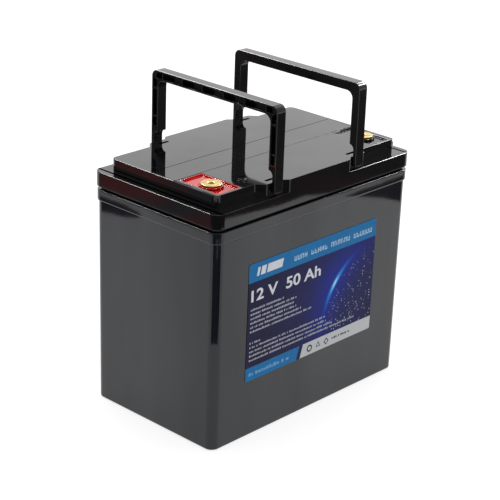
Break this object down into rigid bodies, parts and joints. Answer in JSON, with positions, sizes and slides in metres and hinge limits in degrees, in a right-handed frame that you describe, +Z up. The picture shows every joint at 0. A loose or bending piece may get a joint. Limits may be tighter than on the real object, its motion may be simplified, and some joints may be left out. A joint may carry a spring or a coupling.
{
  "type": "deep cycle battery",
  "caption": "Rectangular black battery with a stepped lid, two fold-down carry handles and two brass threaded terminals in recessed pockets at its ends.",
  "frame": {"origin": "centre of the case's underside", "axes": "+X along the length towards the negative terminal's end, -Y out of the labelled side, +Z up"},
  "size_m": [0.229, 0.138, 0.2694],
  "materials": {
    "case_plastic": "glossy black moulded ABS",
    "lid_plastic": "high-gloss black moulded ABS",
    "handle_plastic": "glossy black moulded polypropylene",
    "seal_rubber": "matt black sealing bead",
    "label_film": "printed gloss film",
    "red_plastic": "glossy red moulded plastic",
    "black_trim": "glossy black moulded plastic",
    "terminal_brass": "turned bright brass",
    "plated_steel": "zinc-plated",
    "copper": "bright copper strip",
    "cell_wrap": "blue shrink film over an aluminium can",
    "insulating_sheet": "pale glass-epoxy sheet",
    "foam": "closed-cell foam",
    "circuit_board": "green solder mask",
    "aluminium": "extruded fins",
    "red_cable": "silicone insulation",
    "black_cable": "silicone insulation",
    "ribbon": "flat ribbon cable"
  },
  "bodies": {
    "housing": {"case": "case_plastic", "lid": "lid_plastic", "lid_seal": "seal_rubber", "top_cover_strip": "lid_plastic", "label": "label_film", "positive_pocket_liner": "red_plastic", "negative_pocket_liner": "black_trim", "positive_collar": "red_plastic", "negative_collar": "black_trim", "positive_terminal": "terminal_brass", "negative_terminal": "terminal_brass", "positive_terminal_seal": "seal_rubber", "negative_terminal_seal": "seal_rubber", "positive_terminal_lug": "plated_steel", "negative_terminal_lug": "plated_steel", "positive_terminal_nut": "terminal_brass", "negative_terminal_nut": "terminal_brass", "cell_1": "cell_wrap", "cell_2": "cell_wrap", "cell_3": "cell_wrap", "cell_4": "cell_wrap", "cell_nut_1": "plated_steel", "cell_nut_2": "plated_steel", "cell_nut_3": "plated_steel", "cell_nut_4": "plated_steel", "cell_nut_5": "plated_steel", "cell_nut_6": "plated_steel", "cell_nut_7": "plated_steel", "cell_nut_8": "plated_steel", "cell_sheet_1": "insulating_sheet", "cell_sheet_2": "insulating_sheet", "cell_sheet_3": "insulating_sheet", "bus_bar_1": "copper", "bus_bar_2": "copper", "bus_bar_3": "copper", "positive_end_tab": "copper", "negative_end_tab": "copper", "end_plate_1": "insulating_sheet", "end_plate_2": "insulating_sheet", "pack_band_1": "plated_steel", "pack_band_2": "plated_steel", "end_pad_1": "foam", "end_pad_2": "foam", "base_pad": "foam", "insulating_board": "insulating_sheet", "bms_board": "circuit_board", "bms_heatsink": "aluminium", "bms_screw_1": "plated_steel", "bms_screw_2": "plated_steel", "bms_screw_3": "plated_steel", "bms_screw_4": "plated_steel", "positive_cable": "red_cable", "pack_negative_cable": "black_cable", "output_negative_cable": "black_cable", "balance_harness": "ribbon", "temperature_sensor": "black_cable"},
    "positive_handle": {"positive_end_handle": "handle_plastic"},
    "negative_handle": {"negative_end_handle": "handle_plastic"}
  },
  "joints": [
    {"name": "positive_handle_fold", "type": "hinge", "parent": "housing", "child": "positive_handle", "pos_m": [-0.0475, 0, 0.2037], "axis": [0, -1, 0], "range_deg": [-20, 90]},
    {"name": "negative_handle_fold", "type": "hinge", "parent": "housing", "child": "negative_handle", "pos_m": [0.0475, 0, 0.2037], "axis": [0, 1, 0], "range_deg": [-20, 90]}
  ]
}
